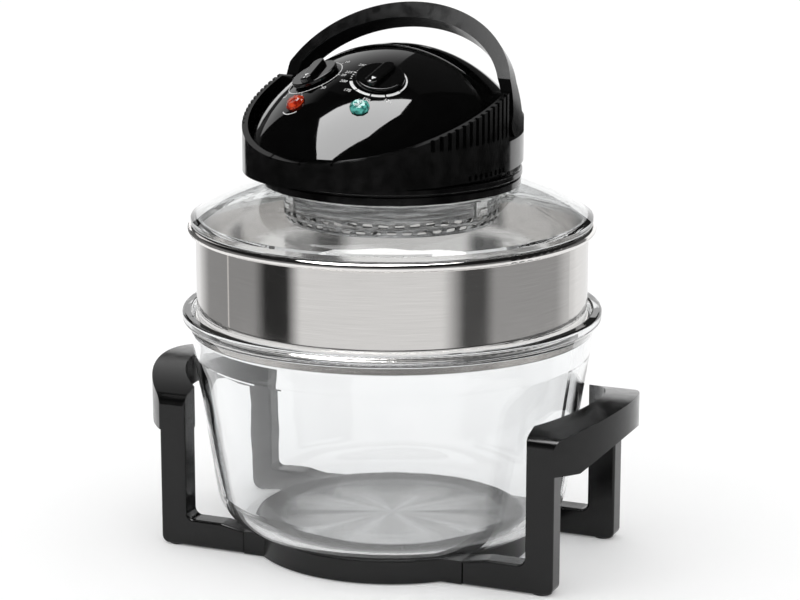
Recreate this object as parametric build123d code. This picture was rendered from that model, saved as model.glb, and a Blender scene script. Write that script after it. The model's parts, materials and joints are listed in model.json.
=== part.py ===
from build123d import *
import os
from math import cos, radians, sin, sqrt

# Halogen oven: a glass bowl on a round stand, a steel extender ring, and a lift-off glass lid
# that carries the heating head with its dials, lamps and folding carry handle.
# Frame: +Z up, origin on the table on the oven's axis, -Y is the front of the head. Millimetres.

# ---- fits
shaft_fit = 0.05
slip_fit = 0.15
lift_gap = 0.3
film_gap = 0.1

# ---- stand
stand_turn = 6.0
foot_lift = 1.0
foot_radius = 8.0
foot_height = 4.0
base_height = 20.0
base_margin = 4.2
base_wall = 3.0
base_rail = 22.5
base_rib_count = 12
arm_face = 82.0
arm_width = 18.0
arm_height = 23.0
arm_start_height = 19.5
boss_length = 2.3
tongue_length = 12.0
tongue_wall = 4.0
post_depth = 22.5
post_gap = 0.1
grip_bottom_post = 95.0
grip_bottom_middle = 113.0
grip_top_post = 122.0
grip_top_middle = 137.0
grip_reach = 34.0
grip_depth_middle = 26.0
grip_wall = 3.0
stand_screw_radius = 2.0
stand_corner = 6.0
stand_edge = 2.0

# ---- glass bowl
bowl_ledge_height = 167.0
bowl_rim_height = 7.2
bowl_taper = 0.1518
bowl_corner_radius = 34.0
bowl_floor = 5.5
bowl_wall = 5.4
bowl_lip = 8.2
bowl_foot_width = 16.0
bowl_foot_step = 0.8

# ---- extender ring
ring_radius = 153.6
ring_wall = 0.8
ring_height = 71.7
ring_bead = 3.5
ring_hem = 1.1
ring_seam_angle = -116.0
ring_seam_width = 9.0

# ---- glass lid
lid_rise = 27.5
lid_glass = 4.5
lid_hole_radius = 80.0
lid_land_width = 12.0
lid_lip_drop = 5.0
lid_lip_width = 3.8
lid_bulge = 3.8

# ---- clamp of the lid
gasket = 1.5
collar_flange = 3.0
collar_inset = 14.0
collar_neck = 19.5
collar_neck_margin = 12.0
collar_skirt_margin = 8.5
collar_shoulder = 10.0
clamp_screw_inset = 8.0
clamp_screw_count = 4
screw_radius = 1.5
screw_head = 2.0

# ---- heater
sheet = 0.8
pan_gap = 1.2
pan_depth = 8.2
guard_margin = 4.0
guard_bottom_drop = 24.0
guard_slots = 44
guard_slot_length = 7.6
guard_slot_width = 3.0
guard_slot_drops = (14.2, 19.4)
guard_clip_angles = (-8.0, -128.0, 112.0)
tube_radius = 5.0
tube_ring_radius = 62.0
tube_drop = 18.5
tube_sweep = 300.0

# ---- head housing
house_side_margin = 10.0
house_half_length = 128.0
house_centre_y = -12.0
house_wall = 4.5
house_floor = 2.5
skirt_drop = 5.7
ear_base = 14.0
ear_slope = 0.29
deck_height = 28.0
deck_thickness = 2.5
fin_count = 13
fin_pitch = 6.8
fin_gap = 3.2
fin_depth = 2.8
fin_foot = 21.0
rim_notch_x = (-27.5, 0.0, 25.0)
rim_notch = 1.6
skirt_slot_count = 8
skirt_slot_pitch = 6.3
skirt_slot_rear = -10.0

# ---- dome: front panel and rear cover
dome_overhang = 17.0
dome_front = 165.0
dome_rear = 90.0
dome_centre_y = 13.0
dome_axis_drop = 35.0
panel_shell = 3.0
panel_end_y = 2.0
panel_foot = 15.0

# ---- carry handle
pivot_y = 14.0
pivot_height = 29.0
handle_lean = 38.0
handle_leg = 9.5
handle_crown = 14.0
handle_rise = 88.0
handle_depth = 15.0
handle_offset = 17.6
handle_elbow = 24.0
handle_foot_radius = 10.5
pin_radius = 4.0
pivot_boss_radius = 7.5
cheek_gap = 4.4
cheek_step = 7.0
cheek_wall = 2.6
recess_front_y = -1.0
recess_rear_y = 51.5
recess_drop = 12.0

# ---- motor, shaft and fans
shaft_radius = 3.0
shaft_top = 54.0
rotor_radius = 12.0
rotor_gap = 0.4
stator_width = 56.0
stator_height = 18.0
stator_floor = 30.0
coil_build = 6.5
bracket_foot_x = 50.0
bracket_foot_y = 35.0
cooling_fan_radius = 48.0
heat_fan_radius = 50.0
fan_blades = 8

# ---- controls
timer_at = (-31.0, -63.5)
temperature_at = (25.0, -63.5)
knob_radius = 18.5
knob_base = 3.0
knob_height = 7.5
knob_grip_width = 10.5
knob_grip_margin = 1.5
spindle_radius = 3.0
control_size = 36.0
control_height = 20.0
control_drop = 6.6
red_lamp_at = (-29.5, -95.5)
green_lamp_at = (25.5, -95.5)
lens_radius = 7.5
lamp_radius = 3.0
cam_radius = 6.0
cam_rise = 1.91
cam_width = 8.0
cam_end_angle = 80.0
plunger_radius = 2.0

# ---- heights that follow from the sizes above
bowl_z = base_height
ledge_z = bowl_z + bowl_ledge_height
bowl_top_z = ledge_z + bowl_rim_height
ring_z = ledge_z + lift_gap
bead_z = ring_z + ring_height
lid_z = bead_z + ring_bead + 0.5
lid_land_z = lid_z + lid_glass + lid_rise
collar_z = lid_land_z + gasket
floor_z = collar_z + collar_neck
skirt_z = floor_z - skirt_drop
deck_z = floor_z + deck_height
dome_axis_z = floor_z - dome_axis_drop
pivot_z = floor_z + pivot_height
pan_z = lid_land_z - lid_glass - gasket
pan_top_z = pan_z - sheet + pan_depth
tube_z = pan_top_z - tube_drop
guard_z = pan_z - sheet
plate_z = floor_z + house_floor

# ---- radii and widths that follow
bowl_wall_radius = ring_radius + 3.2
bowl_foot_radius = bowl_wall_radius - bowl_taper * (bowl_ledge_height - 27.0)
bowl_flat_radius = bowl_foot_radius - bowl_corner_radius * 0.86
base_radius = bowl_flat_radius + base_margin
bead_radius = ring_radius + ring_bead - ring_wall
lid_radius = bead_radius + 0.9
lid_land_radius = lid_hole_radius + lid_land_width
collar_bore = lid_hole_radius - collar_inset
collar_neck_radius = lid_hole_radius + collar_neck_margin
clamp_screw_ring = lid_hole_radius - clamp_screw_inset
pan_radius = lid_hole_radius - pan_gap
guard_radius = lid_hole_radius + guard_margin
house_half_width = collar_neck_radius + house_side_margin
arm_inner = arm_face - arm_width
arm_joint = sqrt(base_radius**2 - arm_inner**2) + boss_length
post_start = sqrt((bowl_wall_radius + post_gap) ** 2 - arm_inner**2)
post_end = post_start + post_depth
foot_x = (post_start + post_end) / 2
dome_radius = house_half_width + dome_overhang
recess_x = house_half_width - handle_leg - cheek_gap + 0.5
cheek_x = recess_x - film_gap
cover_x = cheek_x - cheek_step


# ---- shapes that several pieces share
def block(x_span, y_span, z_span):
    """A box given by its (from, to) spans."""
    spans = (x_span, y_span, z_span)
    size = [end - start for start, end in spans]
    corner = Pos(*[start for start, _ in spans])
    return corner * Box(*size, align=(Align.MIN, Align.MIN, Align.MIN))


def rod(radius, z_start, z_end):
    """A cylinder along Z."""
    upward = (Align.CENTER, Align.CENTER, Align.MIN)
    return Pos(0, 0, z_start) * Cylinder(radius, z_end - z_start, align=upward)


def sleeve(outer, inner, z_start, z_end):
    """A plain tube along Z."""
    return rod(outer, z_start, z_end) - rod(inner, z_start - 1, z_end + 1)


def turned(outline, radii=None):
    """A solid of revolution about Z from (radius, height) corners, each rounded by its radius."""
    if radii:
        edge = FilletPolyline(*outline, radius=radii, close=True)
    else:
        edge = Polyline(*outline, close=True)
    return revolve(Plane.XZ * make_face(edge), Axis.Z)


def around(angle, shape):
    return Rot(0, 0, angle) * shape


def ellipse_prism(half_x, half_y, z_start, z_end):
    """The plan outline of the housing, extruded."""
    outline = Pos(0, house_centre_y, z_start) * Ellipse(half_x, half_y)
    return extrude(outline, z_end - z_start)


def mirrored(shape):
    return mirror(shape, about=Plane.YZ)


def save(name, *pieces):
    """Write one node, as separate solids where it has several."""
    solids = [solid for piece in pieces for solid in piece.solids()]
    whole = solids[0] if len(solids) == 1 else Compound(children=solids)
    export_step(whole, f"parts/{name}.step")


def screw(head_z, tip_z, radius=screw_radius):
    """A pan-head screw that points up from its head."""
    head = rod(radius * 2, head_z, head_z + screw_head)
    slot = block((-radius * 2, radius * 2), (-0.4, 0.4), (head_z, head_z + 0.8))
    return head - slot + rod(radius, head_z + screw_head, tip_z)


# ---- stand
def base_ring():
    inner = base_radius - base_rail
    wall = base_wall
    ring = turned(
        [
            (inner, base_height - 12),
            (inner + wall, base_height - 12),
            (inner + wall, base_height - wall),
            (base_radius - wall, base_height - wall),
            (base_radius - wall, foot_lift),
            (base_radius + 0.8, foot_lift),
            (base_radius, base_height),
            (inner, base_height),
        ],
        [0, 0, 0, 0, 0, 0, 2, 2],
    )
    rib = block((inner + wall / 2, base_radius - wall / 2), (-1, 1), (6, base_height - wall / 2))
    ring += [around(stand_turn + 15 + index * 360 / base_rib_count, rib) for index in range(base_rib_count)]
    middle = arm_face - arm_width / 2
    bosses = []
    holes = []
    for side in (0, 180):
        for sign in (-1, 1):
            boss = block(
                (arm_joint - 19, arm_joint),
                (sign * middle - arm_width / 2, sign * middle + arm_width / 2),
                (foot_lift, arm_start_height),
            )
            bosses.append(around(stand_turn + side, boss))
            hole = rod(stand_screw_radius + slip_fit, 0, 12)
            hole += rod(stand_screw_radius * 2 + slip_fit, 0, foot_lift + screw_head)
            hole = Pos(arm_joint - tongue_length / 2, 0, 0) * hole + tongue(slip_fit)
            holes.append(around(stand_turn + side, Pos(0, sign * middle, 0) * hole))
    return ring + bosses - holes


def tongue(gap):
    """The end of an arm that enters its boss, grown by a gap."""
    half = arm_width / 2 - tongue_wall + gap
    low = foot_lift + tongue_wall - gap
    high = arm_start_height - tongue_wall + gap
    return block((arm_joint - tongue_length - gap, arm_joint + 1), (-half, half), (low, high))


def leg():
    """An arm and its post in one, from the boss of the ring up into the grip."""
    side = FilletPolyline(
        (arm_joint, foot_lift),
        (post_end, foot_lift),
        (post_end, grip_bottom_post + 5),
        (post_start, grip_bottom_post + 5),
        (post_start, arm_height),
        (arm_joint + 20, arm_height),
        (arm_joint, arm_start_height),
        radius=[0, stand_corner, 0, 0, stand_corner, 0, 0],
        close=True,
    )
    body = extrude(Plane.XZ * make_face(side), arm_width / 2, both=True)
    outlines = body.faces().sort_by(Axis.Y)
    body = fillet(outlines[0].edges() + outlines[-1].edges(), stand_edge)
    channel = arm_width / 2 - grip_wall
    body -= block((arm_joint + 4, post_start - 3), (-channel, channel), (0, arm_start_height - 4))
    body += tongue(0)
    return body - Pos(arm_joint - tongue_length / 2, 0, 0) * rod(stand_screw_radius + 0.02, 0, 12)


def top_arc(end_height, middle_height):
    return ThreePointArc((-arm_face, end_height), (0, middle_height), (arm_face, end_height))


def grip_band():
    """The curved grip between the two posts, hollow from below."""
    high = top_arc(grip_top_post, grip_top_middle)
    low_end = (arm_inner, grip_bottom_post)
    low = ThreePointArc(low_end, (0, grip_bottom_middle), (-arm_inner, grip_bottom_post))
    front = Polyline((arm_face, grip_top_post), (arm_face, grip_bottom_post), low_end)
    back = Polyline((-arm_inner, grip_bottom_post), (-arm_face, grip_bottom_post), (-arm_face, grip_top_post))
    elevation = make_face(high.edges() + front.edges() + low.edges() + back.edges())
    corners = elevation.vertices().filter_by_position(Axis.Y, grip_top_post - 1, grip_top_post + 1)
    elevation = fillet(corners, 9)
    outer = ThreePointArc((post_end, -arm_face), (post_end + grip_reach, 0), (post_end, arm_face))
    inner_middle = post_end + grip_reach - grip_depth_middle
    inner = ThreePointArc((post_start, arm_inner), (inner_middle, 0), (post_start, -arm_inner))
    far = Polyline((post_end, arm_face), (post_start, arm_face), (post_start, arm_inner))
    near = Polyline((post_start, -arm_inner), (post_start, -arm_face), (post_end, -arm_face))
    plan = make_face(outer.edges() + far.edges() + inner.edges() + near.edges())
    corners = plan.vertices().filter_by(lambda corner: abs(abs(corner.Y) - arm_face) < 0.1)
    rounded_plan = fillet(corners, stand_edge)
    length = post_end + grip_reach + 5
    band = extrude(Plane.YZ * elevation, length) & extrude(rounded_plan, grip_top_middle + 5)
    inner_top = grip_top_post - grip_wall
    under = Polyline((arm_face, inner_top), (arm_face, 0), (-arm_face, 0), (-arm_face, inner_top))
    roof = make_face(top_arc(inner_top, grip_top_middle - grip_wall).edges() + under.edges())
    pocket_reach = arm_inner - grip_wall
    pocket = extrude(Plane.YZ * roof, length) & extrude(offset(plan, -grip_wall), grip_top_middle)
    pocket &= block((0, length), (-pocket_reach, pocket_reach), (0, grip_top_middle))
    return band - pocket


def side_handle(side):
    middle = arm_face - arm_width / 2
    handle = grip_band()
    for sign in (-1, 1):
        seat = Pos(foot_x, sign * middle, 0) * rod(foot_radius + slip_fit, 0, foot_height)
        handle = handle + Pos(0, sign * middle, 0) * leg() - seat
    return around(stand_turn + side, handle)


def at_the_legs(x, shape):
    """Four copies of a shape, one on each leg, x from the middle of the stand."""
    middle = arm_face - arm_width / 2
    places = [(side, sign) for side in (0, 180) for sign in (-1, 1)]
    return [around(stand_turn + side, Pos(x, sign * middle, 0) * shape) for side, sign in places]


def stand_screws():
    one = screw(foot_lift, 11.5, stand_screw_radius)
    return at_the_legs(arm_joint - tongue_length / 2, one)


def rubber_feet():
    foot = rod(foot_radius, 0, foot_height)
    foot = chamfer(foot.edges().group_by(Axis.Z)[0], 0.6)
    return at_the_legs(foot_x, foot)


# ---- bowl, ring and lid
def glass_bowl():
    knee_z = ledge_z - 27
    inner_top = ring_radius - 3.1
    inner_knee = bowl_wall_radius - 7.0
    inner_foot = bowl_foot_radius - bowl_wall
    outline = [
        (0, bowl_z + bowl_foot_step),
        (bowl_flat_radius - bowl_foot_width, bowl_z + bowl_foot_step),
        (bowl_flat_radius - bowl_foot_width, bowl_z),
        (bowl_foot_radius, bowl_z),
        (bowl_wall_radius, knee_z),
        (bowl_wall_radius + 1.4, ledge_z - 9),
        (bowl_wall_radius + bowl_lip, ledge_z + 1),
        (bowl_wall_radius + bowl_lip, bowl_top_z),
        (ring_radius + 3.6, bowl_top_z),
        (ring_radius + 2.4, ledge_z),
        (inner_top, ledge_z),
        (inner_knee, knee_z),
        (inner_foot, bowl_z + bowl_floor),
        (0, bowl_z + bowl_floor),
    ]
    radii = [0, 0, 0, bowl_corner_radius, 0, 5, 2, 2, 1.5, 0.4, 1.2, 0, bowl_corner_radius - 5, 0]
    return turned(outline, radii)


def extender_ring():
    inner = ring_radius - ring_wall
    wall = sleeve(ring_radius, inner, ring_z + ring_hem, bead_z)
    bead = Torus(bead_radius, ring_bead)
    hem = turned(
        [
            (inner, ring_z),
            (ring_radius + 1.2, ring_z),
            (ring_radius + 1.2, ring_z + 2 * ring_hem),
            (inner, ring_z + 2 * ring_hem),
        ],
        [0.7, 0.7, 0.7, 0],
    )
    low = bowl_top_z + 1
    high = bead_z - ring_bead - 0.5
    seam = sleeve(ring_radius + ring_wall * 0.8, inner + 0.2, low, high)
    half = ring_seam_width / 2
    seam &= around(ring_seam_angle, block((100, 200), (-half, half), (low, high)))
    return wall + Pos(0, 0, bead_z) * bead + hem + seam


def lid_arc(drop):
    """The rise of the lid glass from rim to land, lowered by a drop."""
    start = (lid_radius, lid_z + lid_glass - drop)
    end = (lid_land_radius, lid_land_z - drop)
    middle = ((start[0] + end[0]) / 2, (start[1] + end[1]) / 2 + lid_bulge)
    return start, middle, end


def glass_lid():
    lip = ring_radius - ring_wall - 1.0
    start, middle, end = lid_arc(0)
    low_start, low_middle, low_end = lid_arc(lid_glass)
    top = ThreePointArc(start, middle, end)
    land = Polyline(end, (lid_hole_radius, lid_land_z), (lid_hole_radius, lid_land_z - lid_glass), low_end)
    under = ThreePointArc(low_end, low_middle, low_start)
    rim = Line(low_start, start)
    body = revolve(Plane.XZ * make_face(top.edges() + land.edges() + under.edges() + rim.edges()), Axis.Z)
    flange = turned(
        [
            (lip - lid_lip_width, lid_z - lid_lip_drop),
            (lip, lid_z - lid_lip_drop),
            (lip, lid_z),
            (lid_radius, lid_z),
            (lid_radius, lid_z + lid_glass),
            (lid_radius - 2, lid_z + lid_glass),
            (lip - lid_lip_width, lid_z + 3.2),
        ],
        [1, 0.8, 0, 1.2, 1.2, 0, 0],
    )
    return body + flange


def lid_collar():
    high = floor_z
    shoulder = high - collar_shoulder + 0.5
    skirt = collar_neck_radius + collar_skirt_margin
    ring = turned(
        [
            (collar_bore, collar_z),
            (skirt - 2.7, collar_z),
            (skirt - 2.7, collar_z - 2.4),
            (skirt, collar_z - 2.4),
            (skirt, collar_z + 2.6),
            (skirt - 2.2, collar_z + 3.2),
            (skirt - 2.2, collar_z + 4.0),
            (skirt + 1, collar_z + 4.8),
            (skirt + 1, shoulder),
            (collar_neck_radius, shoulder),
            (collar_neck_radius, high),
            (collar_neck_radius - 6, high),
            (collar_neck_radius - 6, collar_z + collar_flange),
            (collar_bore, collar_z + collar_flange),
        ],
        [0, 0, 0, 0, 0, 0, 0, 0.8, 1.5, 0, 0, 0, 0, 0],
    )
    low_hole = Pos(clamp_screw_ring, 0, 0) * rod(screw_radius + 0.02, collar_z - 1, floor_z)
    high_hole = Pos(collar_neck_radius - 3, 0, 0) * rod(screw_radius + 0.02, high - 8, high + 1)
    for angle in clamp_angles():
        ring -= around(angle, low_hole)
        ring -= around(angle + 45, high_hole)
    return ring


def clamp_angles():
    return [45 + index * 360 / clamp_screw_count for index in range(clamp_screw_count)]


def clamp_screws():
    """Screws from below through the pan and the collar flange, and screws down into the collar neck."""
    low = screw(pan_top_z - sheet - screw_head, collar_z + collar_flange)
    down = mirror(screw(0, 9.5), about=Plane.XY)
    pieces = [around(angle, Pos(clamp_screw_ring, 0, 0) * low) for angle in clamp_angles()]
    reach = collar_neck_radius - 3
    pieces += [around(angle + 45, Pos(reach, 0, plate_z + screw_head) * down) for angle in clamp_angles()]
    return pieces


# ---- heater
def reflector_pan():
    inner = pan_radius - sheet
    pan = turned(
        [
            (0, pan_top_z - sheet),
            (inner, pan_top_z - sheet),
            (inner, pan_z - sheet),
            (guard_radius + 6.5, pan_z - sheet),
            (guard_radius + 6.5, pan_z),
            (pan_radius, pan_z),
            (pan_radius, pan_top_z),
            (0, pan_top_z),
        ]
    )
    pan -= rod(shaft_radius + 3, pan_top_z - 3, pan_top_z + 1)
    hole = Pos(clamp_screw_ring, 0, 0) * rod(screw_radius + 0.1, pan_top_z - 3, pan_top_z + 1)
    for angle in clamp_angles():
        pan -= around(angle, hole)
    return pan


def heater_guard():
    """A pressed cup with a slotted band and a grille of arc slots, hung below the pan."""
    low = guard_z - guard_bottom_drop + sheet
    outline = [
        (0, low),
        (guard_radius - 3, low),
        (guard_radius, low + 6),
        (guard_radius, guard_z - sheet),
        (guard_radius + 5.5, guard_z - sheet),
        (guard_radius + 5.5, guard_z),
        (guard_radius - sheet, guard_z),
        (guard_radius - sheet, low + 6),
        (guard_radius - 3 - sheet, low + sheet),
        (0, low + sheet),
    ]
    cup = turned(outline)
    slot = Plane.YZ * extrude(SlotOverall(guard_slot_length, guard_slot_width), 8)
    cuts = []
    for row, drop in enumerate(guard_slot_drops):
        placed = Pos(guard_radius - 5, 0, guard_z - drop) * slot
        cuts += [around((index + row / 2) * 360 / guard_slots, placed) for index in range(guard_slots)]
    for ring_index, inner in enumerate((14.0, 30.0, 46.0, 62.0)):
        arms = 4 + 2 * ring_index
        spoke = block((0, inner + 14), (-1.6, 1.6), (low - 2, low + 3))
        spokes = [around(index * 360 / arms, spoke) for index in range(arms)]
        cell = sleeve(inner + 12, inner, low - 1, low + 2) - spokes
        cuts += cell.solids()
    return cup - cuts


def guard_clips():
    """Three spring clips outside the guard, under its rim."""
    top = guard_z - sheet
    reach = guard_radius + film_gap
    upright = sleeve(reach + 1.2, reach, top - 12, top)
    upright &= block((0, 200), (-7, 7), (top - 12, top))
    foot = sleeve(reach + 5.2, reach + 1, top - 1.2, top) & block((0, 200), (-7, 7), (top - 2, top))
    bulge = Pos(reach + 1.2, 0, top - 8) * Cylinder(2.0, 9, rotation=(90, 0, 0))
    bulge &= block((reach + 0.5, reach + 6), (-7, 7), (top - 12, top))
    clip = upright + foot + bulge
    return [around(angle, clip) for angle in guard_clip_angles]


def halogen_tube():
    """A glass tube bent to an open ring, its ends to the rear."""
    section = Pos(tube_ring_radius, 0, tube_z) * Rot(90, 0, 0) * Circle(tube_radius)
    start = 90 + (360 - tube_sweep) / 2
    return around(start, revolve(section, Axis.Z, tube_sweep))


def tube_end_caps():
    """Ceramic caps on the tube ends, each with a pillar up to the pan."""
    half_gap = (360 - tube_sweep) / 2
    cap = Pos(tube_ring_radius, 6.6, tube_z) * Box(13, 13, 13)
    pillar = Pos(tube_ring_radius, 8, 0) * rod(4, tube_z, pan_top_z - sheet)
    piece = chamfer(cap.edges().filter_by(Axis.Y), 2.5) + pillar
    first = around(90 - half_gap, piece)
    second = around(90 + half_gap, mirror(piece, about=Plane.XZ))
    return [first, second]


def tube_clips():
    """Wire-form clips that hang the tube from the pan."""
    inner = tube_radius + film_gap
    loop = Cylinder(inner + 0.9, 5, rotation=(90, 0, 0)) - Cylinder(inner, 6, rotation=(90, 0, 0))
    loop -= Pos(0, 0, -inner - 3) * Box(5.5, 8, 8)
    stem = block((-1.8, 1.8), (-2.5, 2.5), (inner + 0.5, pan_top_z - sheet - tube_z))
    clip = Pos(tube_ring_radius, 0, tube_z) * (loop + stem)
    return [around(angle, clip) for angle in (-90, 0, 180)]


def insulation_disc():
    return sleeve(collar_bore - lift_gap, shaft_radius + 3, pan_top_z, collar_z + collar_flange)


# ---- housing and dome
def dome(inset):
    """Half an egg about an axis along Y, smaller by an inset."""
    radius = dome_radius - inset
    front = dome_front - inset
    rear = dome_rear - inset
    nose = EllipticalCenterArc((0, dome_centre_y), radius, front, start_angle=270, arc_size=90)
    tail = EllipticalCenterArc((0, dome_centre_y), radius, rear, start_angle=0, arc_size=90)
    axis_line = Line((0, dome_centre_y + rear), (0, dome_centre_y - front))
    half = Pos(0, 0, dome_axis_z) * make_face(nose.edges() + tail.edges() + axis_line.edges())
    return revolve(half, Axis((0, 0, dome_axis_z), (0, -1, 0)), 180)


def dome_height(x, y):
    reach = dome_front if y < dome_centre_y else dome_rear
    slice_radius = dome_radius * sqrt(1 - ((y - dome_centre_y) / reach) ** 2)
    return dome_axis_z + sqrt(slice_radius**2 - x**2)


def panel_plane(x, y):
    """The plane that touches the front panel at (x, y), its Z pointing out of the panel."""
    z = dome_height(x, y)
    slope = (dome_radius / dome_front) ** 2 * (y - dome_centre_y)
    normal = Vector(x, slope, z - dome_axis_z).normalized()
    return Plane(origin=(x, y, z), x_dir=Vector(0, 1, 0).cross(normal), z_dir=normal)


timer_place = panel_plane(*timer_at)
temperature_place = panel_plane(*temperature_at)
red_place = panel_plane(*red_lamp_at)
green_place = panel_plane(*green_lamp_at)


def ear_height(y):
    return floor_z + ear_base + ear_slope * (y - house_centre_y + house_half_length)


def upper_cut():
    """Everything above the sloping ears and above the level deck behind them."""
    back = house_half_length + 80
    outline = Polyline(
        (-back, ear_height(-back)),
        (recess_front_y, ear_height(recess_front_y)),
        (recess_front_y, deck_z),
        (back, deck_z),
        (back, deck_z + 200),
        (-back, deck_z + 200),
        close=True,
    )
    return extrude(Plane.YZ * make_face(outline), house_half_width + 40, both=True)


def house_edge_x(y):
    """Half width of the housing at y."""
    return house_half_width * sqrt(1 - ((y - house_centre_y) / house_half_length) ** 2)


def post_places():
    """Plan places of the posts that hold the front panel and the rear cover."""
    front = [(sign * 0.58 * house_half_width, -88.0) for sign in (-1, 1)]
    rear = [(sign * 0.44 * house_half_width, 60.0) for sign in (-1, 1)]
    return front, rear


def pin_bore():
    reach = house_half_width + 20
    bore = Cylinder(pin_radius + shaft_fit, 2 * reach, rotation=(0, 90, 0))
    return Pos(0, pivot_y, pivot_z) * bore


def fins():
    """Gaps between the cooling fins, cut into the outer face of both ears."""
    gaps = []
    for index in range(fin_count):
        y = recess_front_y - 2.9 - index * fin_pitch
        outer = house_edge_x(y)
        gap = block((outer - fin_depth, outer + 20), (y - fin_gap, y), (floor_z + fin_foot, floor_z + 80))
        gaps += [gap, mirrored(gap)]
    return gaps


def skirt_slots():
    slots = []
    for index in range(skirt_slot_count):
        y = skirt_slot_rear - index * skirt_slot_pitch
        across = (house_half_width - 17, house_half_width + 5)
        slot = block(across, (y - 1.5, y + 1.5), (skirt_z + 0.8, skirt_z + 4.8))
        slots += [slot, mirrored(slot)]
    return slots


def rim_notches():
    """Small notches in the front rim, where the front panel clips in."""
    notches = []
    for x in rim_notch_x:
        y = house_centre_y - house_half_length * sqrt(1 - (x / house_half_width) ** 2)
        span = (x - rim_notch / 2, x + rim_notch / 2)
        heights = (ear_height(y) - rim_notch, ear_height(y) + 4)
        notches.append(block(span, (y - 2, y + house_wall + 4), heights))
    return notches


def exhaust_slots():
    """Upright slots in the rear wall, left and right of the cord inlet."""
    slots = []
    for index in range(6):
        x = 20 + index * 6
        heights = (plate_z + 4, deck_z - deck_thickness - 4)
        slot = block((x - 1.5, x + 1.5), (60, house_half_length + 10), heights)
        slots += [slot, mirrored(slot)]
    return slots


def lower_housing():
    top = ear_height(recess_front_y) + 2
    inner_x = house_half_width - house_wall
    inner_y = house_half_length - house_wall
    outer = ellipse_prism(house_half_width, house_half_length, skirt_z, top)
    body = outer - ellipse_prism(inner_x, inner_y, skirt_z - 1, top + 1)
    body += ellipse_prism(inner_x + 1, inner_y + 1, floor_z, plate_z)
    under = deck_z - deck_thickness
    deck = ellipse_prism(inner_x + 1, inner_y + 1, under, deck_z)
    deck &= block((-200, 200), (recess_front_y, 200), (under, deck_z))
    opening = extrude(Pos(0, dome_centre_y, under - 1) * Ellipse(dome_radius - 23, dome_rear - 18), 10)
    opening &= block((-cover_x + 4, cover_x - 4), (-200, 200), (under - 1, deck_z + 1))
    body += deck - opening
    wall_x = recess_x - cheek_wall
    floor = pivot_z - recess_drop
    block_span = (recess_front_y - 2.5, recess_rear_y + 2.5)
    trough = block((wall_x, house_half_width), block_span, (floor - 2.5, deck_z))
    ear_end = block((cheek_x, house_half_width), (recess_front_y - 2.5, recess_front_y), (floor, top))
    added = (trough + ear_end) & outer
    body = body + added + mirrored(added)
    recess = block((recess_x, house_half_width + 5), (recess_front_y, recess_rear_y), (floor, top + 5))
    body = body - recess - mirrored(recess) - upper_cut() - pin_bore()
    hole = rod(screw_radius + 0.1, floor_z - 1, plate_z + 1)
    front, rear = post_places()
    holes = [Pos(x, y, 0) * hole for x, y in front + rear]
    holes += [around(angle + 45, Pos(collar_neck_radius - 3, 0, 0) * hole) for angle in clamp_angles()]
    holes.append(rod(cooling_fan_radius + 7, floor_z - 1, plate_z + 1))
    inlet = Cylinder(6.1, 30, rotation=(90, 0, 0))
    holes.append(Pos(0, house_centre_y + house_half_length, inlet_z()) * inlet)
    return body - (fins() + rim_notches() + skirt_slots() + exhaust_slots() + holes)


def inlet_z():
    return (plate_z + deck_z - deck_thickness) / 2


def hollow_post(x, y, roof_inset):
    """A post from the floor up into the dome's shell, with a pilot hole for its screw."""
    post = Pos(x, y, 0) * rod(4, plate_z, floor_z + 90)
    post &= dome(roof_inset)
    return post - Pos(x, y, 0) * rod(screw_radius + 0.02, plate_z - 1, plate_z + 10)


def front_panel():
    half_x = house_half_width - house_wall - 0.2
    half_y = house_half_length - house_wall - 0.2
    region = ellipse_prism(half_x, half_y, floor_z + panel_foot, floor_z + 120)
    region -= block((-200, 200), (panel_end_y, 200), (floor_z, floor_z + 130))
    ear_clear = block((cheek_x - 0.2, 200), (recess_front_y - 2.7, 200), (floor_z, floor_z + 130))
    region = region - ear_clear - mirrored(ear_clear)
    panel = (dome(0) - dome(panel_shell)) & region
    front, _ = post_places()
    for x, y in front:
        panel += hollow_post(x, y, 1.0)
    for place in (timer_place, temperature_place):
        for local_x in (-13, 13):
            panel += place * Pos(local_x, 0, 0) * rod(3, -control_drop, -1.5)
        panel -= place * rod(spindle_radius + 2, -12, 5)
    for place in (red_place, green_place):
        panel -= place * rod(lens_radius - 0.8 + film_gap, -12, 5)
    return panel


def rear_cover():
    """The dome behind the bail, drawn in between the legs so that they can fold down beside it."""
    along = (panel_end_y, dome_centre_y + dome_rear)
    shoulder_span = (panel_end_y, panel_end_y + panel_shell)
    height = (deck_z, floor_z + 120)
    room = block((-cover_x, cover_x), along, height) + block((-cheek_x, cheek_x), shoulder_span, height)
    shell = (dome(0) - dome(panel_shell)) & room
    cheek = block((cover_x - panel_shell, cover_x), along, height)
    shoulder = block((cover_x - panel_shell, cheek_x), shoulder_span, height)
    side = (cheek + shoulder) & dome(0.5)
    boss = Pos(0, pivot_y, pivot_z) * (Plane.YZ * rod(pivot_boss_radius, cover_x - 1, cheek_x))
    side += boss & block((0, 200), (-200, 200), height)
    cover = shell + side + mirrored(side)
    _, rear = post_places()
    for x, y in rear:
        cover += hollow_post(x, y, 1.0)
    return cover - pin_bore()


def housing_screws():
    front, rear = post_places()
    one = screw(floor_z - screw_head, plate_z + 9)
    return [Pos(x, y, 0) * one for x, y in front + rear]


# ---- carry handle and its switch
def arch(half_width, rise):
    """The upright bail seen from the front: half an ellipse on two straight legs, through its depth."""
    spring = pivot_z - 2
    low = pivot_z - handle_foot_radius - 5
    over = EllipticalCenterArc((0, spring), half_width, rise, start_angle=0, arc_size=180)
    legs = Polyline((-half_width, spring), (-half_width, low), (half_width, low), (half_width, spring))
    return extrude(Plane.XZ * make_face(over.edges() + legs.edges()), house_half_length, both=True)


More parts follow.
